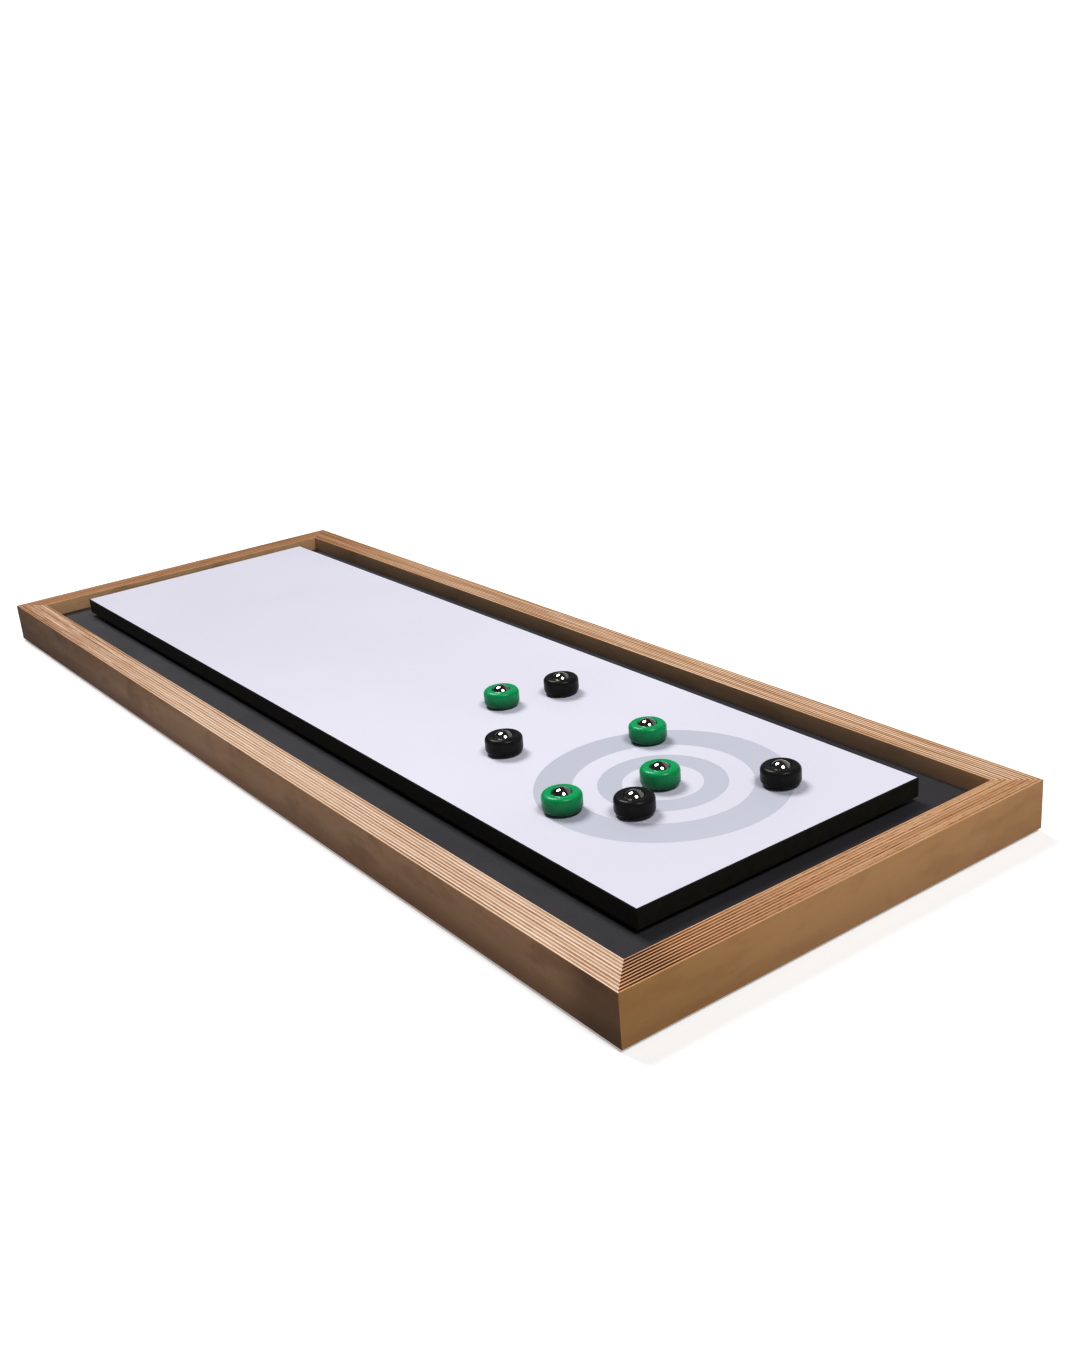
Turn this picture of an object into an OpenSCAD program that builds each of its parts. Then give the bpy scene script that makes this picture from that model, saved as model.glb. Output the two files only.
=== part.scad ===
// Tabletop shuffleboard with roller pucks.
// X runs along the board towards the target, Y across it, Z up.
// The origin is under the middle of the tray, on the surface it stands on.

/* [Playing board] */
// Length of the playing board over its edge bands
board_l = 1000; // [700:10:1400]
// Width of the playing board over its edge bands
board_w = 280; // [230:5:400]
// Thickness of the fibreboard core
core_t = 14; // [11:0.5:19]
// Thickness of the laminate on each face of the board
laminate_t = 0.8; // [0.6:0.1:1.5]
// Thickness of the black edge bands
band_t = 1; // [0.5:0.1:2]
// Radius of the small round on the board's upright corners
board_corner = 0.8; // [0.2:0.1:2]

/* [Target] */
// Distance from the board's end to the middle of the target
target_from_end = 134; // [115:1:200]
// Outer radius of the outer ring
outer_ring_ro = 101; // [80:1:110]
// Inner radius of the outer ring
outer_ring_ri = 71; // [58:1:78]
// Outer radius of the inner ring
inner_ring_ro = 51; // [40:1:56]
// Inner radius of the inner ring
inner_ring_ri = 32; // [15:1:38]
// Depth of the ring inlays
inlay_t = 0.3; // [0.2:0.05:0.5]

/* [Gutter] */
// Clear width of the gutter along both sides of the board
gutter_side = 40; // [30:1:70]
// Clear width of the gutter at both ends of the board
gutter_end = 35; // [30:1:70]
// Depth of the gutter floor below the top of the rails
gutter_drop = 16; // [8:0.5:20]

/* [Rails] */
// Thickness of the plywood rails
rail_t = 27; // [21:1:36]
// Height of the rails
rail_h = 41; // [36:0.5:60]
// Eased arris along the edges of a rail
rail_ease = 0.5; // [0.2:0.1:1.5]
// Thickness of the loose spline in each mitre
spline_t = 4; // [3:0.5:6]
// Width of the loose spline across the mitre
spline_w = 18; // [12:1:20]
// Solid wood left over the top end of a spline
spline_cover = 8; // [5:1:12]

/* [Base panel] */
// Thickness of the grey base panel
panel_t = 12; // [9:0.5:15]
// Depth of the groove in the rails that holds the base panel
groove_d = 9; // [5:0.5:12]

/* [Battens] */
// Height of the battens that lift the board off the panel
batten_t = 4.5; // [3:0.5:8]
// Width of a batten
batten_w = 30; // [20:1:45]
// Distance from the board's edge in to the battens
batten_inset = 12; // [8:1:25]

/* [Board screws] */
// Screws along each long batten
screws_per_side = 5; // [3:1:8]
// Shank diameter of a screw
screw_d = 4; // [3:0.5:5]
// Length of a screw over its head
screw_l = 25; // [21:0.5:27]

/* [Feet] */
// Diameter of a rubber foot
foot_d = 20; // [14:1:21]
// Height of a rubber foot
foot_h = 2; // [1:0.5:5]
// Distance from the end of the tray to the middle of its end feet
foot_from_end = 60; // [40:5:150]

/* [Pucks] */
// Outer diameter of a puck
puck_d = 31.75; // [26:0.25:40]
// Height of a puck's ring
puck_h = 15; // [12.5:0.5:18]
// Rounding of a puck's outer edges
puck_round = 4; // [2:0.5:5]
// Diameter of the steel ball
ball_d = 19.05; // [14:0.05:20]
// Gap between a puck's ring and the board
puck_gap = 0.9; // [0.5:0.1:2]
// Height of the clip that keeps the ball in
clip_t = 2.2; // [1.5:0.1:3]

/* [Clearances] */
// Gap round a ball inside its socket
ball_fit = 0.15; // [0.05:0.05:0.3]
// Gap left for rolling between a ball and the board
roll_gap = 0.05; // [0.02:0.01:0.1]
// Gap at the edge of the base panel in its groove
panel_fit = 0.5; // [0.2:0.1:1]
// Gap round a spline, a clip or a screw in its seat
seat_fit = 0.05; // [0.02:0.01:0.2]

/* [Hidden] */
// Where each puck lies: along the board from the target's middle, and across the board
green_spots = [[-225, 6], [-70, 45], [2, -4], [-17, -85]];
black_spots = [[-209, 61], [-138, -53], [67, 61], [26, -50]];

// Name, place and colour of every puck
pucks = concat(
    [for (i = [0 : 3]) [str("green_puck_", i + 1), green_spots[i], "seagreen"]],
    [for (i = [0 : 3]) [str("black_puck_", i + 1), black_spots[i], "black"]]);

$fn = 64;
over = 1; // how far a cutter runs past the face it cuts

// Plan sizes, from the board outwards
inside_l = board_l + 2 * gutter_end;
inside_w = board_w + 2 * gutter_side;
tray_l = inside_l + 2 * rail_t;
tray_w = inside_w + 2 * rail_t;
core_l = board_l - 2 * band_t;
core_w = board_w - 2 * band_t;

// Heights, from the standing surface upwards
rail_top = foot_h + rail_h;
floor_z = rail_top - gutter_drop;
panel_z = floor_z - panel_t;
board_z = floor_z + batten_t;
core_z = board_z + laminate_t;
board_t = core_t + 2 * laminate_t;
play_z = board_z + board_t;

target_x = board_l / 2 - target_from_end;

// A puck's inner shape
ball_r = ball_d / 2;
ball_z = play_z + roll_gap + ball_r;
ring_z = play_z + puck_gap;
ball_hold = 1.3; // how far the mouth closes in over the ball
clip_hold = 1.1; // how far the clip closes in under it
clip_edge = 0.5; // flat rim left on the underside round the clip
lip_w = 0.4; // bevel round the mouth
dish = 0.2; // depth of the dished top
mouth_r = ball_r - ball_hold;
clip_r = puck_d / 2 - puck_round - clip_edge;
clip_bore_r = ball_r - clip_hold;

screw_head_d = 2 * screw_d;
screw_tip_l = screw_d;
screw_point_r = 0.2;
screw_bore_r = screw_d / 2 + 4 * seat_fit;
screw_pilot_r = screw_d / 2 + seat_fit;
recess_l = screw_d;
recess_w = 0.8; // width of the cross recess in a head
spline_end = 3; // wood left under a spline

// ---- tray ----

// Section of a rail in the plane across it: outer face on x = 0, foot on y = 0
module rail_section() {
    e = rail_ease;
    difference() {
        polygon([[e, 0], [rail_t - e, 0], [rail_t, e], [rail_t, rail_h - e],
            [rail_t - e, rail_h], [e, rail_h], [0, rail_h - e], [0, e]]);
        translate([rail_t - groove_d, panel_z - foot_h])
            square([groove_d + over, panel_t + 2 * seat_fit]);
    }
}

// Upright blade centred in one mitre, at the corner given by sx and sy
module spline(sx, sy, gap) {
    h = rail_h - spline_cover - spline_end;
    translate([sx * (tray_l - rail_t) / 2, sy * (tray_w - rail_t) / 2, foot_h + spline_end + h / 2])
        rotate([0, 0, -sx * sy * 45])
            cube([spline_w + 2 * gap, spline_t + 2 * gap, h + 2 * gap], center = true);
}

module all_splines(gap) {
    for (sx = [-1, 1], sy = [-1, 1]) spline(sx, sy, gap);
}

// Mitred rail of one outer length, its outer face towards -Y and at distance half from the middle
module rail(run, half, turn) {
    color("burlywood")
        difference() {
            rotate([0, 0, turn])
                translate([0, -half, foot_h])
                    intersection() {
                        translate([-run / 2, 0, 0])
                            rotate([90, 0, 90])
                                linear_extrude(run)
                                    rail_section();
                        linear_extrude(rail_h)
                            polygon([[-run / 2, 0], [run / 2, 0],
                                [run / 2 - rail_t, rail_t], [rail_t - run / 2, rail_t]]);
                    }
            all_splines(seat_fit);
        }
}

module near_rail() { rail(tray_l, tray_w / 2, 0); }
module target_rail() { rail(tray_w, tray_l / 2, 90); }
module far_rail() { rail(tray_l, tray_w / 2, 180); }
module start_rail() { rail(tray_w, tray_l / 2, 270); }

module corner_splines() {
    color("peru") all_splines(0);
}

module base_panel() {
    tongue = groove_d - panel_fit;
    l = inside_l + 2 * tongue;
    w = inside_w + 2 * tongue;
    color("dimgray")
        difference() {
            translate([-l / 2, -w / 2, panel_z]) cube([l, w, panel_t]);
            at_screws() screw_cutter(screw_bore_r);
        }
}

// ---- fixings ----

// Runs its children at the foot of each board screw
module at_screws() {
    batten_mid = board_w / 2 - batten_inset - batten_w / 2;
    reach = board_l - 2 * (batten_inset + batten_w) - 4 * screw_head_d;
    for (side = [-1, 1], i = [0 : screws_per_side - 1])
        translate([reach * (i / (screws_per_side - 1) - 0.5), side * batten_mid, panel_z])
            children();
}

// Countersunk hole for a screw
module screw_cutter(bore_r) {
    head_r = screw_head_d / 2 + seat_fit;
    translate([0, 0, -over]) cylinder(r = bore_r, h = screw_l + over);
    cylinder(r1 = head_r, r2 = bore_r, h = head_r - bore_r);
    translate([0, 0, -over]) cylinder(r = head_r, h = over);
}

module screw() {
    shank_r = screw_d / 2;
    difference() {
        union() {
            cylinder(r1 = screw_head_d / 2, r2 = shank_r, h = screw_head_d / 2 - shank_r);
            cylinder(r = shank_r, h = screw_l - screw_tip_l);
            translate([0, 0, screw_l - screw_tip_l])
                cylinder(r1 = shank_r, r2 = screw_point_r, h = screw_tip_l);
        }
        for (turn = [0, 90])
            rotate([0, 0, turn]) cube([recess_l, recess_w, 2 * recess_w], center = true);
    }
}

module board_screws() {
    color("silver") at_screws() screw();
}

module rubber_feet() {
    x_end = tray_l / 2 - foot_from_end;
    y_mid = (tray_w - rail_t) / 2;
    color("darkslategray")
        for (x = [-x_end, 0, x_end], side = [-1, 1])
            translate([x, side * y_mid, 0]) {
                cylinder(d1 = foot_d - foot_h, d2 = foot_d, h = foot_h / 2);
                translate([0, 0, foot_h / 2]) cylinder(d = foot_d, h = foot_h / 2);
            }
}

// ---- board ----

// One batten on the panel, centred at x and y
module batten(x, y, l, w) {
    color("black")
        difference() {
            translate([x - l / 2, y - w / 2, floor_z]) cube([l, w, batten_t]);
            at_screws() cylinder(r = screw_bore_r, h = screw_l);
        }
}

batten_run = board_l - 2 * batten_inset;
batten_y = board_w / 2 - batten_inset - batten_w / 2;
cross_x = board_l / 2 - batten_inset - batten_w / 2;
cross_run = board_w - 2 * (batten_inset + batten_w);

module near_batten() { batten(0, -batten_y, batten_run, batten_w); }
module far_batten() { batten(0, batten_y, batten_run, batten_w); }
module start_batten() { batten(-cross_x, 0, batten_w, cross_run); }
module middle_batten() { batten(0, 0, batten_w, cross_run); }
module target_batten() { batten(cross_x, 0, batten_w, cross_run); }

// Flat sheet of the core's size
module sheet(z, t) {
    translate([-core_l / 2, -core_w / 2, z]) cube([core_l, core_w, t]);
}

module backing_laminate() {
    color("black")
        difference() {
            sheet(board_z, laminate_t);
            at_screws() cylinder(r = screw_bore_r, h = screw_l);
        }
}

module board_core() {
    color("tan")
        difference() {
            sheet(core_z, core_t);
            at_screws() cylinder(r = screw_pilot_r, h = screw_l + seat_fit);
        }
}

// Flat ring let into the top of the board
module target_ring(ro, ri, depth, height) {
    translate([target_x, 0, play_z - depth])
        difference() {
            cylinder(r = ro, h = height);
            translate([0, 0, -over]) cylinder(r = ri, h = height + 2 * over);
        }
}

module playing_laminate() {
    color("ghostwhite")
        difference() {
            sheet(core_z + core_t, laminate_t);
            target_ring(outer_ring_ro, outer_ring_ri, inlay_t, inlay_t + over);
            target_ring(inner_ring_ro, inner_ring_ri, inlay_t, inlay_t + over);
        }
}

module outer_target_ring() {
    color("lightsteelblue") target_ring(outer_ring_ro, outer_ring_ri, inlay_t, inlay_t);
}

module inner_target_ring() {
    color("lightsteelblue") target_ring(inner_ring_ro, inner_ring_ri, inlay_t, inlay_t);
}

// The board's outline in plan, with its small corner rounds
module board_plan() {
    r = board_corner;
    for (sx = [-1, 1], sy = [-1, 1])
        translate([sx * (board_l / 2 - r), sy * (board_w / 2 - r)]) circle(r);
    square([board_l - 2 * r, board_w], center = true);
    square([board_l, board_w - 2 * r], center = true);
}

// Edge band on one side: along X when lengthwise, closing the corners when not
module edge_band(lengthwise, side) {
    color("black")
        translate([0, 0, board_z])
            intersection() {
                linear_extrude(board_t) board_plan();
                if (lengthwise)
                    translate([-core_l / 2, side > 0 ? core_w / 2 : -board_w / 2, 0])
                        cube([core_l, band_t, board_t]);
                else
                    translate([side > 0 ? core_l / 2 : -board_l / 2, -board_w / 2, 0])
                        cube([band_t, board_w, board_t]);
            }
}

module near_edge_band() { edge_band(true, -1); }
module far_edge_band() { edge_band(true, 1); }
module start_edge_band() { edge_band(false, -1); }
module target_edge_band() { edge_band(false, 1); }

// ---- pucks ----

module at_puck(spot) {
    translate([target_x + spot[0], spot[1], 0]) children();
}

// Half section of a ring, before its bore: axis on x = 0, underside on y = 0
module ring_outline() {
    r = puck_d / 2;
    f = puck_round;
    square([r - f, puck_h]);
    translate([0, f]) square([r, puck_h - 2 * f]);
    for (y = [f, puck_h - f])
        translate([r - f, y]) circle(f);
}

// Rounded ring with a shallow dished top, a socket over the ball and a seat for the clip
module puck_ring(spot, tint) {
    socket_r = ball_r + ball_fit;
    lip_r = mouth_r + lip_w;
    top = ring_z + puck_h;
    color(tint)
        at_puck(spot)
            difference() {
                translate([0, 0, ring_z]) rotate_extrude() ring_outline();
                translate([0, 0, ball_z]) sphere(socket_r);
                translate([0, 0, ball_z]) cylinder(r = mouth_r, h = puck_h);
                translate([0, 0, ring_z - over]) cylinder(r = socket_r, h = ball_z - ring_z + over);
                translate([0, 0, top - lip_w - dish]) cylinder(r1 = mouth_r, r2 = lip_r, h = lip_w);
                translate([0, 0, top - dish]) cylinder(r1 = lip_r, r2 = puck_d / 2 - puck_round, h = dish);
                translate([0, 0, ring_z - over]) cylinder(r = clip_r + seat_fit, h = clip_t + over);
            }
}

// Flat clip pressed into the underside, open at the middle for the ball
module puck_clip(spot) {
    color("black")
        at_puck(spot)
            translate([0, 0, ring_z])
                difference() {
                    cylinder(r = clip_r, h = clip_t);
                    translate([0, 0, -over]) cylinder(r = clip_bore_r, h = clip_t + 2 * over);
                }
}

module puck_ball(spot) {
    color("gainsboro")
        at_puck(spot)
            translate([0, 0, ball_z]) sphere(ball_r);
}

near_rail();
far_rail();
start_rail();
target_rail();
corner_splines();
base_panel();
near_batten();
far_batten();
start_batten();
middle_batten();
target_batten();
board_core();
playing_laminate();
backing_laminate();
near_edge_band();
far_edge_band();
start_edge_band();
target_edge_band();
outer_target_ring();
inner_target_ring();
board_screws();
rubber_feet();
for (p = pucks) {
    puck_ring(p[1], p[2]);
    puck_clip(p[1]);
    puck_ball(p[1]);
}
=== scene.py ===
import math
import random

import bmesh
import bpy
from mathutils import Matrix, Vector


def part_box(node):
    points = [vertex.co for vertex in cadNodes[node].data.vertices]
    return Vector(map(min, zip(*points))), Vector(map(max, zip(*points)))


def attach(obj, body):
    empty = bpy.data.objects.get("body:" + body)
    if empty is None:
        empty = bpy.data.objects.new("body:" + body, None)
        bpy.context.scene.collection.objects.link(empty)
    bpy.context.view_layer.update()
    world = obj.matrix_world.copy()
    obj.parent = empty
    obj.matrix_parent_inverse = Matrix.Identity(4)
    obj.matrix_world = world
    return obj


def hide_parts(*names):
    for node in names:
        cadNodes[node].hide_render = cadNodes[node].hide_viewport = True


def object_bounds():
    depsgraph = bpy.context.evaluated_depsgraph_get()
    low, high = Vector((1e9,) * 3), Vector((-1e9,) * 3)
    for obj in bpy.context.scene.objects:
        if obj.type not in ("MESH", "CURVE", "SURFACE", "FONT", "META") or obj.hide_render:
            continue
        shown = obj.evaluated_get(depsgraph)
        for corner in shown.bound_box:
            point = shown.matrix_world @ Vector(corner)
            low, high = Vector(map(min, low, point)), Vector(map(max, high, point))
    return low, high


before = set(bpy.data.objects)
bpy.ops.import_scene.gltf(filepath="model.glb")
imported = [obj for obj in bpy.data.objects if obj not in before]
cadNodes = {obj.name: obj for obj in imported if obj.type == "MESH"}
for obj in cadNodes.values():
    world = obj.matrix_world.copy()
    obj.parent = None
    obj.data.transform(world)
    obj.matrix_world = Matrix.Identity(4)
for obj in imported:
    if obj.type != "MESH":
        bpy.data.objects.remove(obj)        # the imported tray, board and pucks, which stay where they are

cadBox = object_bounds()     # the real size, before anything is added
mm = 0.001


# small helpers for the finishes

def newFinish(name):
    finish = bpy.data.materials.new(name)
    finish.use_nodes = True
    return finish.node_tree, finish.node_tree.nodes["Principled BSDF"], finish


def addNode(tree, kind, inputs=None, **settings):
    step = tree.nodes.new("ShaderNode" + kind)
    for key, value in settings.items():
        setattr(step, key, value)
    for key, value in (inputs or {}).items():
        if isinstance(value, bpy.types.NodeSocket):
            tree.links.new(value, step.inputs[key])
        else:
            step.inputs[key].default_value = value
    return step


def stretched(tree, scale, shift=(0, 0, 0)):
    # the piece's own coordinates in metres, times a scale for each direction, so cells per metre
    place = addNode(tree, "TexCoord")
    return addNode(tree, "Mapping", {"Vector": place.outputs["Object"], "Scale": scale,
                                     "Location": shift}).outputs["Vector"]


def grainNoise(tree, scale, detail=3.0, rough=0.55, shift=(0, 0, 0), swirl=0.0):
    return addNode(tree, "TexNoise", {"Vector": stretched(tree, scale, shift), "Scale": 1.0,
                                      "Detail": detail, "Roughness": rough,
                                      "Distortion": swirl}).outputs["Fac"]


def spread(tree, value, low, high, toLow=0.0, toHigh=1.0):
    # a soft step from one value to another
    return addNode(tree, "MapRange", {"Value": value, "From Min": low, "From Max": high,
                                      "To Min": toLow, "To Max": toHigh},
                   interpolation_type="SMOOTHSTEP").outputs["Result"]


def mixed(tree, share, first, second, how="MIX"):
    # two colours mixed; each of the three can be a plain value or a socket
    step = addNode(tree, "Mix", data_type="RGBA", blend_type=how)
    for socket, value in ((step.inputs[0], share), (step.inputs[6], first), (step.inputs[7], second)):
        if isinstance(value, bpy.types.NodeSocket):
            tree.links.new(value, socket)
        else:
            socket.default_value = value if isinstance(value, float) else (*value, 1.0)
    return step.outputs[2]


def worked(tree, first, second, how="MULTIPLY"):
    # one sum between two numbers or sockets
    return addNode(tree, "Math", {0: first, 1: second}, operation=how).outputs[0]


def partOf(tree, coordinates, axis):
    # one axis of the piece's Object or Generated coordinates
    place = addNode(tree, "TexCoord").outputs[coordinates]
    return addNode(tree, "SeparateXYZ", {0: place}).outputs[axis]


def wire(tree, value, socket):
    tree.links.new(value, socket)


def reliefOf(tree, height, depth, strength):
    return addNode(tree, "Bump", {"Height": height, "Distance": depth,
                                  "Strength": strength}).outputs["Normal"]


# the rails: nineteen glued plies each, mitred at the corners

plyBuild = {
    "count": 19,             # odd, so both faces of a rail are face veneers
    "cuts": 72,              # stations along one rail
    "longThin": 0.66,        # how thick a long-grain ply is against a cross-grain one
    "wander": 0.11 * mm,     # how far a glue line strays from its own place
    "ease": 0.5 * mm,        # sanded edges
    "easeSteps": 4,
    "skin": 0.001 * mm,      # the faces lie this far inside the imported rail
    "sharpOver": 40,         # degrees, a bend that stays a sharp edge
    "panelSlip": 0.05 * mm,  # room above and below the floor panel in its groove
    "panelRoom": 0.5 * mm,   # room past the floor panel's edge
    "seed": 11,
}

railLooks = {
    # turn: how far the rail is turned from the near one, in degrees
    # long and cross: plies with their grain along the rail and across it; face: the face veneers
    # each pair goes from the rail's left end to its right end, seen from outside
    # fade: the stretch of the rail, from 0 to 1, in which the left look goes over to the right one
    # merge: how far plies blend with their neighbours; dash: how strongly the end grain shows
    # band: how strongly runs a few plies wide show
    # cloud: how blotchy the face veneers are; foot: how dark the painted shade along their lower edge is
    # the face's darker patch near the front corner and the stain on top: place from the rail's middle,
    # reach, strength
    "near_rail": {"turn": 0, "long": ((0.50, 0.28, 0.140), (0.87, 0.69, 0.56)),
                  "cross": ((0.26, 0.125, 0.050), (0.40, 0.245, 0.157)),
                  "face": ((0.20, 0.085, 0.020), (0.64, 0.400, 0.245)),
                  "fade": (0.0, 0.50), "merge": (0.9, 0.3), "dash": 0.30, "band": 0.35,
                  "cloud": 0.6, "foot": 0.9, "cornerPatch": (0.545, 0.052, 0.85)},
    "target_rail": {"turn": 90, "long": ((0.72, 0.44, 0.25), (0.61, 0.39, 0.24)),
                    "cross": ((0.13, 0.041, 0.010), (0.33, 0.17, 0.080)),
                    "face": ((0.58, 0.345, 0.155), (0.69, 0.415, 0.215)),
                    "fade": (0.0, 0.55), "merge": (0.0, 0.8), "dash": 0.55, "band": 0.45,
                    "cloud": 0.25, "foot": 0.2, "stain": (-0.177, 0.034, 0.8)},
    "far_rail": {"turn": 180, "long": ((0.93, 0.67, 0.48), (0.54, 0.34, 0.200)),
                 "cross": ((0.34, 0.215, 0.145), (0.30, 0.15, 0.070)),
                 "face": ((0.74, 0.49, 0.300), (0.74, 0.49, 0.300)),
                 "fade": (0.5, 1.0), "merge": (0.0, 0.3), "dash": 0.10, "band": 1.0,
                 "cloud": 0.35, "foot": 0.0},
    "start_rail": {"turn": 270, "long": ((0.44, 0.25, 0.125), (0.50, 0.29, 0.155)),
                   "cross": ((0.23, 0.10, 0.04), (0.25, 0.11, 0.045)),
                   "face": ((0.80, 0.53, 0.310), (0.80, 0.53, 0.310)),
                   "fade": (0.0, 1.0), "merge": (0.7, 0.7), "dash": 0.35, "band": 0.4,
                   "cloud": 0.6, "foot": 0.3},
}


def railPlace(name):
    # a rail's own frame: x along it, y inwards from its outer face, z up
    low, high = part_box(name)
    turn = railLooks[name]["turn"]
    outer = {0: (0, low.y), 90: (high.x, 0), 180: (0, high.y), 270: (low.x, 0)}[turn]
    size = high - low
    along = size.x if turn in (0, 180) else size.y
    across = size.y if turn in (0, 180) else size.x
    panelLow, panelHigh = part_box("base_panel")
    reach = {0: low.y + across - panelLow.y, 90: panelHigh.x - (high.x - across),
             180: panelHigh.y - (high.y - across), 270: low.x + across - panelLow.x}[turn]
    return {
        "matrix": Matrix.Translation((*outer, 0)) @ Matrix.Rotation(math.radians(turn), 4, "Z"),
        "half": along / 2, "thick": across, "low": low.z, "high": high.z,
        "grooveIn": across - reach - plyBuild["panelRoom"],
        "grooveLow": panelLow.z - plyBuild["panelSlip"],
        "grooveHigh": panelHigh.z + plyBuild["panelSlip"],
    }


def glueLines(place, dice):
    # each line between two plies as a function of the place along the rail, -1 to 1
    count = plyBuild["count"]
    widths = [1.0 if ply % 2 else plyBuild["longThin"] for ply in range(count)]
    lines = [place["thick"] * sum(widths[:line]) / sum(widths) for line in range(count + 1)]
    # a long slow wave and a short quick one for each line: size, pitch, start
    waves = [[(dice.uniform(0.4, 0.7), dice.uniform(1.5, 4.0), dice.uniform(0, 6.28)),
              (dice.uniform(0.2, 0.4), dice.uniform(6.0, 13.0), dice.uniform(0, 6.28))]
             for line in range(count + 1)]

    def lineAt(line, share):
        if line == 0:
            return plyBuild["skin"]    # the two faces are flat
        if line == count:
            return place["thick"] - plyBuild["skin"]
        stray = sum(size * math.sin(pitch * share + start) for size, pitch, start in waves[line])
        return lines[line] + stray * plyBuild["wander"]
    return lineAt


def plyOutline(place, near, far, isOuter, isInner):
    # one ply's section as closed loops of (across, up); the floor panel's groove parts the inner ones
    low, high, cut = place["low"], place["high"], place["grooveIn"]
    grooveLow, grooveHigh = place["grooveLow"], place["grooveHigh"]

    def corner(across, up, first):
        # a quarter round of the sanded edge, from one direction to the next
        radius, steps = plyBuild["ease"], plyBuild["easeSteps"]
        inwards = 1 if across == near else -1
        upwards = 1 if up == low else -1
        centre = (across + inwards * radius, up + upwards * radius)
        angles = [math.radians(first + 90 * step / steps) for step in range(steps + 1)]
        return [(centre[0] + radius * math.cos(angle), centre[1] + radius * math.sin(angle))
                for angle in angles]

    lowNear = corner(near, low, 180) if isOuter else [(near, low)]
    lowFar = corner(far, low, 270) if isInner else [(far, low)]
    highFar = corner(far, high, 0) if isInner else [(far, high)]
    highNear = corner(near, high, 90) if isOuter else [(near, high)]
    if far <= cut:
        return [lowNear + lowFar + highFar + highNear]
    if near < cut:
        mouth = [(far, grooveLow), (cut, grooveLow), (cut, grooveHigh), (far, grooveHigh)]
        return [lowNear + lowFar + mouth + highFar + highNear]
    return [lowNear + lowFar + [(far, grooveLow), (near, grooveLow)],
            [(near, grooveHigh), (far, grooveHigh)] + highFar + highNear]


def layPlies(name, ending, place, lineAt, plies, finishes, dice):
    # sweeps each ply along the rail; both ends are cut at 45 degrees
    mesh = bpy.data.meshes.new(name + ending)
    build = bmesh.new()
    tone = build.faces.layers.float.new("plyTone")
    count, cuts = plyBuild["count"], plyBuild["cuts"]
    for ply in plies:
        plyTone = dice.random()
        rows = []
        for cutNo in range(cuts + 1):
            share = 2 * cutNo / cuts - 1
            near, far = lineAt(ply, share), lineAt(ply + 1, share)
            loops = plyOutline(place, near, far, ply == 0, ply == count - 1)
            rows.append([[build.verts.new((share * (place["half"] - across), across, up))
                          for across, up in loop] for loop in loops])
        for part in range(len(rows[0])):
            ring = len(rows[0][part])
            newFaces = [build.faces.new(rows[0][part][::-1]), build.faces.new(rows[-1][part])]
            for cutNo in range(cuts):
                here, there = rows[cutNo][part], rows[cutNo + 1][part]
                newFaces += [build.faces.new((here[i], here[(i + 1) % ring],
                                              there[(i + 1) % ring], there[i])) for i in range(ring)]
            for face in newFaces:
                face[tone] = plyTone
    bmesh.ops.recalc_face_normals(build, faces=build.faces)
    for face in build.faces:
        face.smooth = True
        if len(finishes) > 1 and abs(face.normal.y) < 0.5:
            face.material_index = 1    # a face veneer's own edge, seen from above
    build.to_mesh(mesh)
    build.free()
    mesh.set_sharp_from_angle(angle=math.radians(plyBuild["sharpOver"]))
    for finish in finishes:
        mesh.materials.append(finish)
    piece = bpy.data.objects.new(name + ending, mesh)
    bpy.context.scene.collection.objects.link(piece)
    piece.matrix_world = place["matrix"]
    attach(piece, "table")
    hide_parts(name)


plyGrain = {
    # cells per metre along the rail, across the plies and up
    "streak": (14, 2600, 2600), "drift": (11, 620, 11), "fleck": (170, 700, 170),
    "dash": (170, 900, 170), "openPore": (1500, 2400, 1500), "stain": (13, 640, 13),
    "band": (4, 230, 4), "knot": (14, 90, 14),
    # what the darker places multiply the wood's colour by, and the knots' own colours
    "longDeep": (0.70, 0.58, 0.46), "crossDark": (0.50, 0.38, 0.28),
    "longKnot": (0.16, 0.07, 0.03), "crossKnot": (0.12, 0.05, 0.02),
}

veneerGrain = {
    "figure": (5, 40, 34), "cloud": (13, 20, 30), "blotch": (34, 40, 60), "pore": (90, 1200, 2600),
    "deep": (0.60, 0.52, 0.44), "patchTint": (0.40, 0.33, 0.27),
}


def alongRail(tree, half, fade):
    # 0 where the rail has its left end's look, 1 where it has its right end's
    along = partOf(tree, "Object", "X")
    return spread(tree, along, half * (2 * fade[0] - 1), half * (2 * fade[1] - 1))


def pinKnots(tree, shift):
    # 1 inside a few small knots, 0 elsewhere
    place = stretched(tree, plyGrain["knot"], shift)
    cells = addNode(tree, "TexVoronoi", {"Vector": place, "Scale": 1.0})
    chance = addNode(tree, "SeparateColor", {0: cells.outputs["Color"]}).outputs[0]
    middle = spread(tree, cells.outputs["Distance"], 0.06, 0.12, 1.0, 0.0)
    return worked(tree, middle, spread(tree, chance, 0.70, 0.72))


def broadBands(tree, look, shift):
    # runs of darker wood a few plies wide
    band = grainNoise(tree, plyGrain["band"], 2.0, 0.6, shift)
    return spread(tree, band, 0.46, 0.56, 0.0, look["band"])


def darkSpot(tree, at, reach, share):
    # one darker place along a rail, strongest at its middle
    along = partOf(tree, "Object", "X")
    away = worked(tree, worked(tree, along, at, "SUBTRACT"), 0.0, "ABSOLUTE")
    return spread(tree, away, 0.2 * reach, reach, share, 0.0)


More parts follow.
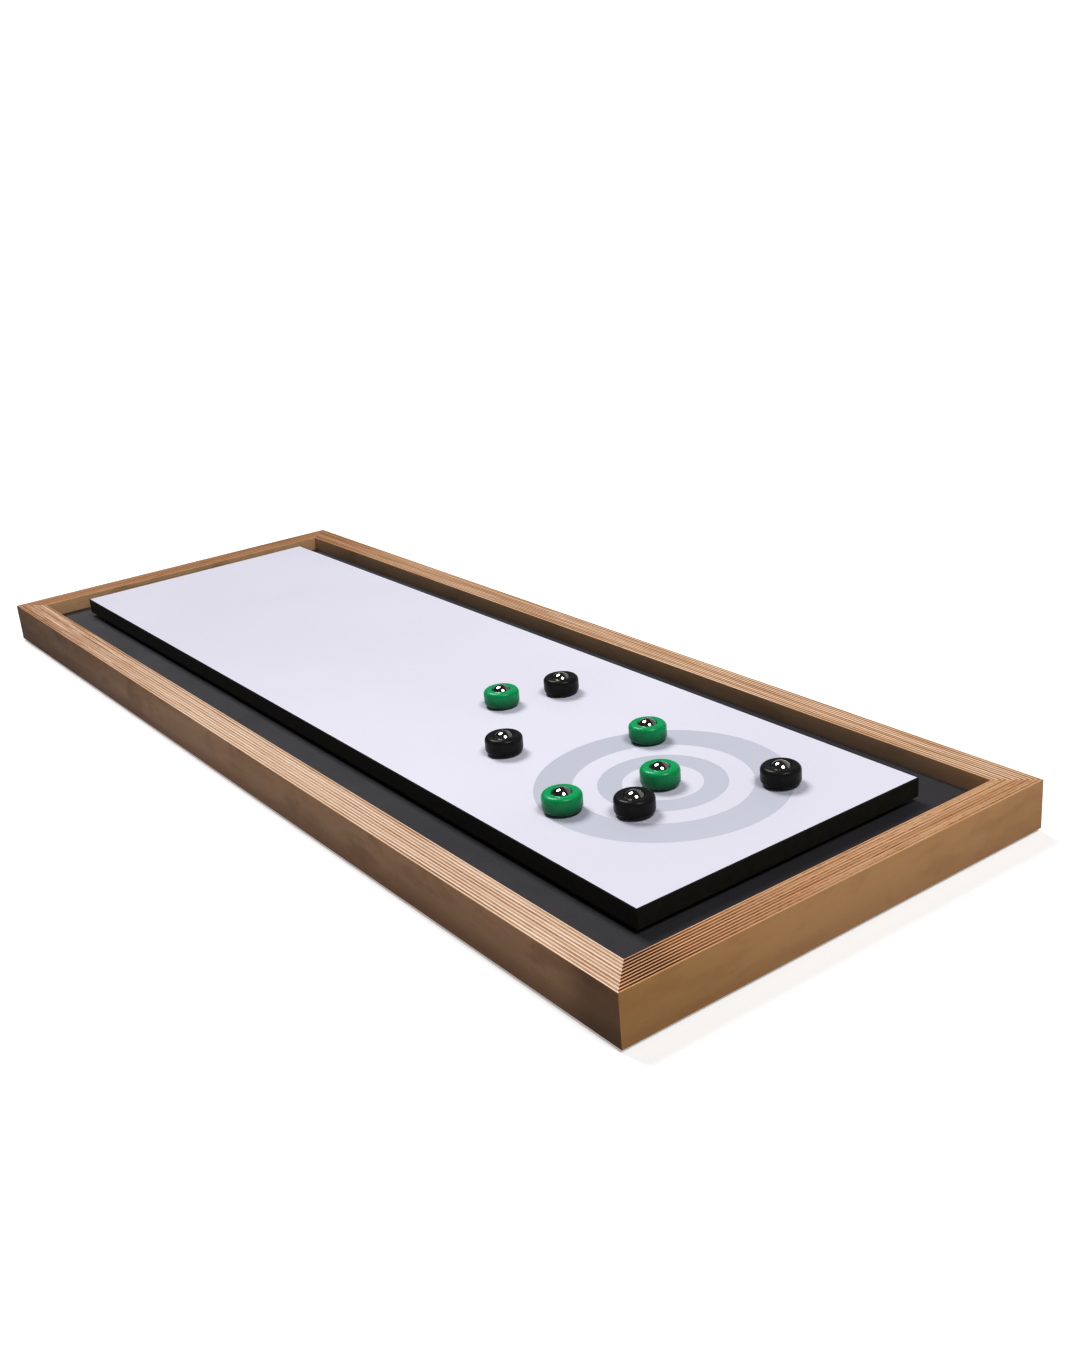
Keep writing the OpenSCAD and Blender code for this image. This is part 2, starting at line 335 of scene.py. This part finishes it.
def longPlyFinish(name, look, half, shift):
    # plies whose grain runs along the rail: pale, with fine streaks and a few brown runs
    tree, shader, finish = newFinish(name)
    streak = grainNoise(tree, plyGrain["streak"], 3.0, 0.6, shift)
    drift = grainNoise(tree, plyGrain["drift"], 3.0, 0.6, shift)
    fleck = grainNoise(tree, plyGrain["fleck"], 2.0, 0.6, shift)
    tone = addNode(tree, "Attribute", attribute_name="plyTone").outputs["Fac"]
    wood = mixed(tree, alongRail(tree, half, look["fade"]), *look["long"])
    deep = mixed(tree, 1.0, wood, plyGrain["longDeep"], "MULTIPLY")
    wood = mixed(tree, spread(tree, streak, 0.40, 0.75, 0.0, 0.7), wood, deep)
    wood = mixed(tree, spread(tree, tone, 0.5, 1.0, 0.0, 0.35), wood, deep)
    merge = spread(tree, alongRail(tree, half, look["fade"]), 0.0, 1.0, *look["merge"])
    wood = mixed(tree, worked(tree, merge, spread(tree, drift, 0.48, 0.62)), wood, deep)
    wood = mixed(tree, spread(tree, fleck, 0.52, 0.64, 0.0, look["dash"] * 0.5), wood, deep)
    wood = mixed(tree, broadBands(tree, look, shift), wood, deep)
    if "stain" in look:
        wood = mixed(tree, worked(tree, darkSpot(tree, *look["stain"]), 0.6), wood, deep)
    wood = mixed(tree, pinKnots(tree, shift), wood, plyGrain["longKnot"])
    wire(tree, wood, shader.inputs["Base Color"])
    wire(tree, spread(tree, streak, 0.2, 0.8, 0.45, 0.60), shader.inputs["Roughness"])
    shader.inputs["Specular IOR Level"].default_value = 0.25
    wire(tree, reliefOf(tree, streak, 0.03 * mm, 0.5), shader.inputs["Normal"])
    return finish


def crossPlyFinish(name, look, half, shift):
    # plies seen on their end grain: darker, with short dashes, open pores and long stains
    tree, shader, finish = newFinish(name)
    dash = grainNoise(tree, plyGrain["dash"], 2.0, 0.6, shift)
    pore = grainNoise(tree, plyGrain["openPore"], 2.0, 0.7, shift)
    stain = grainNoise(tree, plyGrain["stain"], 3.0, 0.6, shift)
    tone = addNode(tree, "Attribute", attribute_name="plyTone").outputs["Fac"]
    wood = mixed(tree, alongRail(tree, half, look["fade"]), *look["cross"])
    dark = mixed(tree, 1.0, wood, plyGrain["crossDark"], "MULTIPLY")
    merge = spread(tree, alongRail(tree, half, look["fade"]), 0.0, 1.0, *look["merge"])
    fair = mixed(tree, worked(tree, merge, 0.8), wood, look["long"][1])
    wood = mixed(tree, spread(tree, tone, 0.3, 1.0, 0.0, 0.6), wood, fair)
    wood = mixed(tree, spread(tree, stain, 0.49, 0.62), wood, fair)
    wood = mixed(tree, spread(tree, stain, 0.34, 0.47, 0.7, 0.0), wood, dark)
    wood = mixed(tree, spread(tree, dash, 0.54, 0.64, 0.0, look["dash"]), wood, dark)
    wood = mixed(tree, spread(tree, dash, 0.34, 0.44, look["dash"], 0.0), wood, fair)
    wood = mixed(tree, spread(tree, pore, 0.60, 0.72, 0.0, 0.4), wood, fair)
    wood = mixed(tree, worked(tree, broadBands(tree, look, shift), 0.8), wood, dark)
    if "stain" in look:
        stained = mixed(tree, 1.0, wood, dark, "MULTIPLY")
        wood = mixed(tree, darkSpot(tree, *look["stain"]), wood, stained)
    wood = mixed(tree, pinKnots(tree, shift), wood, plyGrain["crossKnot"])
    wire(tree, wood, shader.inputs["Base Color"])
    wire(tree, spread(tree, pore, 0.2, 0.8, 0.55, 0.75), shader.inputs["Roughness"])
    shader.inputs["Specular IOR Level"].default_value = 0.2
    wire(tree, reliefOf(tree, dash, 0.05 * mm, 0.6), shader.inputs["Normal"])
    return finish


def faceVeneerFinish(name, look, place, shift):
    # rotary cut birch: soft clouds, a faint figure and pores under a thin clear oil
    tree, shader, finish = newFinish(name)
    figure = grainNoise(tree, veneerGrain["figure"], 4.0, 0.6, shift, 0.4)
    cloud = grainNoise(tree, veneerGrain["cloud"], 3.0, 0.55, shift)
    blotch = grainNoise(tree, veneerGrain["blotch"], 4.0, 0.6, shift, 0.6)
    pore = grainNoise(tree, veneerGrain["pore"], 2.0, 0.6, shift)
    wood = mixed(tree, alongRail(tree, place["half"], look["fade"]), *look["face"])
    deep = mixed(tree, 1.0, wood, veneerGrain["deep"], "MULTIPLY")
    wood = mixed(tree, spread(tree, figure, 0.35, 0.75, 0.0, 0.25), wood, deep)
    wood = mixed(tree, spread(tree, cloud, 0.50, 0.68, 0.0, look["cloud"]), wood, deep)
    wood = mixed(tree, spread(tree, blotch, 0.52, 0.72, 0.0, look["cloud"] * 0.6), wood, deep)
    wood = mixed(tree, spread(tree, pore, 0.62, 0.75, 0.0, 0.30), wood, deep)
    # painted shade along the lower edge, darker towards the bottom
    middle = (place["low"] + place["high"]) / 2
    foot = spread(tree, partOf(tree, "Object", "Z"), place["low"], middle, look["foot"], 0.0)
    wood = mixed(tree, foot, wood, deep)
    # a darker patch on the face near the front corner
    if "cornerPatch" in look:
        patchTint = mixed(tree, 1.0, wood, veneerGrain["patchTint"], "MULTIPLY")
        wood = mixed(tree, darkSpot(tree, *look["cornerPatch"]), wood, patchTint)
    wire(tree, wood, shader.inputs["Base Color"])
    wire(tree, spread(tree, figure, 0.2, 0.8, 0.42, 0.56), shader.inputs["Roughness"])
    shader.inputs["Specular IOR Level"].default_value = 0.06
    wire(tree, reliefOf(tree, pore, 0.03 * mm, 0.5), shader.inputs["Normal"])
    return finish


def buildRails():
    dice = random.Random(plyBuild["seed"])
    count = plyBuild["count"]
    for number, (name, look) in enumerate(railLooks.items()):
        place = railPlace(name)
        lineAt = glueLines(place, dice)
        shift = (number * 3.1, number * 7.7, number * 1.9)
        longPly = longPlyFinish(name + " long plies", look, place["half"], shift)
        crossPly = crossPlyFinish(name + " cross plies", look, place["half"], shift)
        veneer = faceVeneerFinish(name + " face veneer", look, place, shift)
        layPlies(name, "_face_veneers", place, lineAt, (0, count - 1), (veneer, longPly), dice)
        layPlies(name, "_long_plies", place, lineAt, range(2, count - 1, 2), (longPly,), dice)
        layPlies(name, "_cross_plies", place, lineAt, range(1, count, 2), (crossPly,), dice)
        print(name, "laid up from", count, "plies")


buildRails()


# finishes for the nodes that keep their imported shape; each colour goes over to its shade in clouds
# gloss: the roughness from its smoothest to its dullest places; shine: how strongly it reflects

floorPanel = {"colour": (0.036, 0.034, 0.039), "fleck": (0.056, 0.053, 0.061), "gloss": (0.42, 0.56)}
# the white sheet's last colour is painted shade towards the target end
whiteSheet = {"colour": (0.745, 0.73, 0.83), "shade": (0.77, 0.755, 0.86), "gloss": (0.08, 0.13),
              "targetEndShade": (0.70, 0.685, 0.78)}
targetSheet = {"colour": (0.54, 0.55, 0.635), "shade": (0.525, 0.535, 0.615), "gloss": (0.08, 0.13)}
backingSheet = {"colour": (0.020, 0.020, 0.020), "shade": (0.030, 0.030, 0.030),
                "gloss": (0.40, 0.55), "shine": 0.5}
edgeBand = {"colour": (0.013, 0.0135, 0.010), "shade": (0.019, 0.020, 0.016),
            "gloss": (0.40, 0.55), "shine": 0.2, "grain": 700, "depth": 0.03 * mm}
# the pucks' last colour is painted shade, multiplied into their sides from the belt down
greenPuck = {"colour": (0.003, 0.34, 0.125), "shade": (0.003, 0.29, 0.105), "gloss": (0.22, 0.32),
             "shine": 0.25, "beltShade": (0.40, 0.42, 0.42)}
blackPuck = {"colour": (0.012, 0.012, 0.012), "shade": (0.017, 0.017, 0.017), "gloss": (0.22, 0.32),
             "shine": 0.13, "beltShade": (0.45, 0.43, 0.38)}
ballClip = {"colour": (0.02, 0.02, 0.02), "shade": (0.03, 0.03, 0.03), "gloss": (0.40, 0.55), "shine": 0.5}
footRubber = {"colour": (0.018, 0.018, 0.018), "shade": (0.03, 0.03, 0.03), "gloss": (0.75, 0.9),
              "shine": 0.5, "grain": 1500, "depth": 0.08 * mm}
ballSteel = {"colour": (0.55, 0.53, 0.51), "shade": (0.46, 0.45, 0.44), "gloss": (0.04, 0.08),
             "scratch": (600, 600, 3000)}
zincScrew = {"colour": (0.60, 0.60, 0.62), "shade": (0.42, 0.42, 0.45), "gloss": (0.25, 0.42),
             "scratch": (900, 900, 900)}
beechSpline = {"colour": (0.55, 0.36, 0.22), "shade": (0.40, 0.23, 0.12), "gloss": (0.5, 0.7),
               "streak": (900, 900, 60)}
blackBatten = {"colour": (0.010, 0.010, 0.010), "shade": (0.022, 0.021, 0.020), "gloss": (0.5, 0.7),
               "streak": (40, 700, 700)}
boardCore = {"colour": (0.36, 0.24, 0.14), "shade": (0.26, 0.16, 0.09), "gloss": (0.75, 0.9),
             "streak": (1100, 1100, 1500)}


fineness = {
    # cells per metre of the patterns that these finishes share
    "panelGrit": (1800, 1800, 1800), "panelCloud": (14, 14, 14),
    "sheetPeel": (160, 160, 160), "sheetCloud": (5, 5, 5), "sheetScuff": (30, 900, 30),
    "mouldedCloud": (120, 120, 120), "steelCloud": (220, 220, 220),
}


def floorPanelFinish():
    # matt printed film, with a fine grit
    tree, shader, finish = newFinish("grey film on the floor panel")
    fine = grainNoise(tree, fineness["panelGrit"], 2.0, 0.6)
    wide = grainNoise(tree, fineness["panelCloud"], 3.0, 0.6)
    colour = mixed(tree, spread(tree, fine, 0.5, 0.72), floorPanel["colour"], floorPanel["fleck"])
    colour = mixed(tree, spread(tree, wide, 0.4, 0.8, 0.0, 0.25), colour, floorPanel["fleck"])
    wire(tree, colour, shader.inputs["Base Color"])
    wire(tree, spread(tree, wide, 0.2, 0.8, *floorPanel["gloss"]), shader.inputs["Roughness"])
    shader.inputs["Specular IOR Level"].default_value = 0.3
    wire(tree, reliefOf(tree, fine, 0.03 * mm, 0.4), shader.inputs["Normal"])
    return finish


def glossSheetFinish(name, look):
    # gloss laminate, with a little orange peel and scuffs along the pucks' travel
    tree, shader, finish = newFinish(name)
    peel = grainNoise(tree, fineness["sheetPeel"], 2.0, 0.5)
    wide = grainNoise(tree, fineness["sheetCloud"], 2.0, 0.5)
    scuff = grainNoise(tree, fineness["sheetScuff"], 3.0, 0.7)
    colour = mixed(tree, spread(tree, wide, 0.35, 0.75), look["colour"], look["shade"])
    if "targetEndShade" in look:
        # painted shade: darker towards the target end
        along = partOf(tree, "Generated", "X")
        colour = mixed(tree, spread(tree, along, 0.70, 0.95), colour, look["targetEndShade"])
    wire(tree, colour, shader.inputs["Base Color"])
    gloss = spread(tree, wide, 0.2, 0.8, *look["gloss"])
    wire(tree, worked(tree, gloss, spread(tree, scuff, 0.62, 0.78, 0.0, 0.06), "ADD"),
         shader.inputs["Roughness"])
    wire(tree, reliefOf(tree, peel, 0.02 * mm, 0.15), shader.inputs["Normal"])
    return finish


def mouldedFinish(name, look):
    # plastic or rubber out of a mould, with a fine even grain
    tree, shader, finish = newFinish(name)
    cloud = grainNoise(tree, fineness["mouldedCloud"], 2.0, 0.5)
    fine = grainNoise(tree, (look.get("grain", 900),) * 3, 2.0, 0.6)
    colour = mixed(tree, spread(tree, cloud, 0.35, 0.75), look["colour"], look["shade"])
    if "beltShade" in look:
        # painted shade: the pucks darken from the belt down
        shadedBelow = mixed(tree, 1.0, colour, look["beltShade"], "MULTIPLY")
        share = spread(tree, partOf(tree, "Generated", "Z"), 0.15, 0.80, 1.0, 0.0)
        colour = mixed(tree, share, colour, shadedBelow)
    wire(tree, colour, shader.inputs["Base Color"])
    wire(tree, spread(tree, fine, 0.25, 0.75, *look["gloss"]), shader.inputs["Roughness"])
    shader.inputs["Specular IOR Level"].default_value = look["shine"]
    depth = look.get("depth", 0.02 * mm)
    wire(tree, reliefOf(tree, fine, depth, 0.3), shader.inputs["Normal"])
    return finish


def steelFinish(name, look):
    # bare metal, with hairline scratches
    tree, shader, finish = newFinish(name)
    shader.inputs["Metallic"].default_value = 1.0
    cloud = grainNoise(tree, fineness["steelCloud"], 2.0, 0.5)
    line = grainNoise(tree, look["scratch"], 3.0, 0.7)
    wire(tree, mixed(tree, spread(tree, cloud, 0.35, 0.75), look["colour"], look["shade"]),
         shader.inputs["Base Color"])
    wire(tree, spread(tree, line, 0.45, 0.8, *look["gloss"]), shader.inputs["Roughness"])
    return finish


def streakedFinish(name, look):
    # plain wood or fibreboard inside the table
    tree, shader, finish = newFinish(name)
    streak = grainNoise(tree, look["streak"], 3.0, 0.6)
    wire(tree, mixed(tree, spread(tree, streak, 0.3, 0.75), look["colour"], look["shade"]),
         shader.inputs["Base Color"])
    wire(tree, spread(tree, streak, 0.2, 0.8, *look["gloss"]), shader.inputs["Roughness"])
    wire(tree, reliefOf(tree, streak, 0.05 * mm, 0.4), shader.inputs["Normal"])
    return finish


slotFinishes = {
    "grey_panel": floorPanelFinish(),
    "white_laminate": glossSheetFinish("white gloss laminate", whiteSheet),
    "target_grey": glossSheetFinish("grey inlay laminate", targetSheet),
    "black_edge": mouldedFinish("black edge band", edgeBand),
    "green_plastic": mouldedFinish("green moulded plastic", greenPuck),
    "black_plastic": mouldedFinish("black moulded plastic", blackPuck),
    "clip_plastic": mouldedFinish("clip plastic", ballClip),
    "polished_steel": steelFinish("polished ball steel", ballSteel),
    "zinc_screw": steelFinish("zinc plated screw", zincScrew),
    "foot_rubber": mouldedFinish("foot rubber", footRubber),
    "hardwood_spline": streakedFinish("beech spline", beechSpline),
    "black_batten": streakedFinish("black batten", blackBatten),
    "fibreboard": streakedFinish("fibreboard core", boardCore),
    "backing_laminate": mouldedFinish("backing laminate", backingSheet),
}

for node in cadNodes.values():
    for slotNo, slot in enumerate(node.material_slots):
        if slot.material.name in slotFinishes:
            node.data.materials[slotNo] = slotFinishes[slot.material.name]
print("finishes on", len(slotFinishes), "slots")


# the studio: a pale floor and two soft lamps, one over each end of the tray

studio = {
    # where each lamp stands from the tray's middle, its power and its width in degrees
    "startLamp": {"from": (-0.572, 0.02, 0.823), "power": 2.38, "width": 24},
    "targetLamp": {"from": (0.44, 0.071, 0.898), "power": 1.77, "width": 24},
    "lampAway": 3,           # how many times its own distance each lamp hangs out
    "floorSize": 60.0, "floorGap": 0.1 * mm, "floorTone": (0.92, 0.92, 0.92), "floorGlow": 0.32,
    # brightness overhead, at the skyline and behind the far rail, and how much dimmer the start end is
    "sky": 0.05, "skyline": 0.29, "wall": 0.30, "startDim": 0.2,
    "backdrop": (1.02, 1.02, 1.02),    # what the camera sees behind everything
    # how the picture's tones are bent: scene value, shown value
    "tones": ((0.01, 0.007), (0.03, 0.019), (0.10, 0.069), (0.25, 0.215), (0.50, 0.49), (0.80, 0.81)),
}


def hangLamp(name, look):
    lamp = bpy.data.lights.new(name, "SUN")
    lamp.energy = look["power"]
    lamp.angle = math.radians(look["width"])
    holder = bpy.data.objects.new(name, lamp)
    bpy.context.scene.collection.objects.link(holder)
    holder.rotation_mode = "QUATERNION"
    holder.rotation_quaternion = Vector(look["from"]).to_track_quat("Z", "Y")
    holder.location = Vector(look["from"]) * studio["lampAway"]


def paintWorld():
    # for the light, a dim ceiling, a brighter skyline and one wall; for the eye, a white backdrop
    world = bpy.data.worlds.new("studio")
    bpy.context.scene.world = world
    world.use_nodes = True
    tree = world.node_tree
    tree.nodes.clear()
    way = addNode(tree, "SeparateXYZ", {0: addNode(tree, "TexCoord").outputs["Generated"]}).outputs
    level = spread(tree, way["Z"], 0.15, 0.60, studio["skyline"], studio["sky"])
    wall = spread(tree, way["Y"], 0.60, 0.68, 0.0, studio["wall"])    # behind the far rail
    level = worked(tree, level, wall, "MAXIMUM")
    level = worked(tree, level, spread(tree, way["X"], -0.95, -0.70, studio["startDim"], 1.0))
    fill = addNode(tree, "Background", {"Color": (1.0, 1.0, 1.0, 1.0), "Strength": level})
    backdrop = addNode(tree, "Background", {"Color": (*studio["backdrop"], 1.0), "Strength": 1.0})
    seen = addNode(tree, "LightPath").outputs["Is Camera Ray"]
    both = addNode(tree, "MixShader", {0: seen, 1: fill.outputs[0], 2: backdrop.outputs[0]})
    addNode(tree, "OutputWorld", {"Surface": both.outputs[0]})


def layFloor():
    mesh = bpy.data.meshes.new("studio_floor")
    build = bmesh.new()
    bmesh.ops.create_grid(build, x_segments=8, y_segments=8, size=studio["floorSize"] / 2)
    build.to_mesh(mesh)
    build.free()
    floor = bpy.data.objects.new("studio_floor", mesh)
    bpy.context.scene.collection.objects.link(floor)
    floor.location.z = cadBox[0].z - studio["floorGap"]
    tree, shader, finish = newFinish("studio floor")
    shader.inputs["Base Color"].default_value = (*studio["floorTone"], 1.0)
    shader.inputs["Roughness"].default_value = 0.9
    shader.inputs["Specular IOR Level"].default_value = 0.0
    shader.inputs["Emission Color"].default_value = (1.0, 1.0, 1.0, 1.0)
    shader.inputs["Emission Strength"].default_value = studio["floorGlow"]
    mesh.materials.append(finish)
    floor.visible_diffuse = False    # keeps the rails' sides in the shade


hangLamp("start_lamp", studio["startLamp"])
hangLamp("target_lamp", studio["targetLamp"])
paintWorld()
layFloor()
print("studio lit")


# the camera

shot = {
    "place": (1.1581, -0.6606, 0.5355),    # metres
    "aim": (0.0978, 0.0798, 0.0430),
    "roll": -4.79,           # degrees
    "lens": 38.96,           # mm
    "longSide": 36,          # mm, the longer side of the film
    "sees": (0.05, 200),     # nearest and furthest, in metres
}


def setCamera():
    lens = bpy.data.cameras.new("camera")
    lens.lens = shot["lens"]
    lens.sensor_width = shot["longSide"]
    lens.clip_start, lens.clip_end = shot["sees"]
    holder = bpy.data.objects.new("camera", lens)
    bpy.context.scene.collection.objects.link(holder)
    away = Vector(shot["place"]) - Vector(shot["aim"])
    level = away.to_track_quat("Z", "Y").to_matrix().to_4x4()
    holder.matrix_world = (Matrix.Translation(shot["place"]) @ level
                           @ Matrix.Rotation(math.radians(shot["roll"]), 4, "Z"))
    bpy.context.scene.camera = holder


def setTones():
    # a plain view with a little more contrast in the darks
    view = bpy.context.scene.view_settings
    view.view_transform = "Standard"
    view.use_curve_mapping = True
    bend = view.curve_mapping.curves[3]
    for value, shown in studio["tones"]:
        bend.points.new(value, shown)
    view.curve_mapping.update()


setCamera()
setTones()
print("camera set")

bpy.context.view_layer.update()
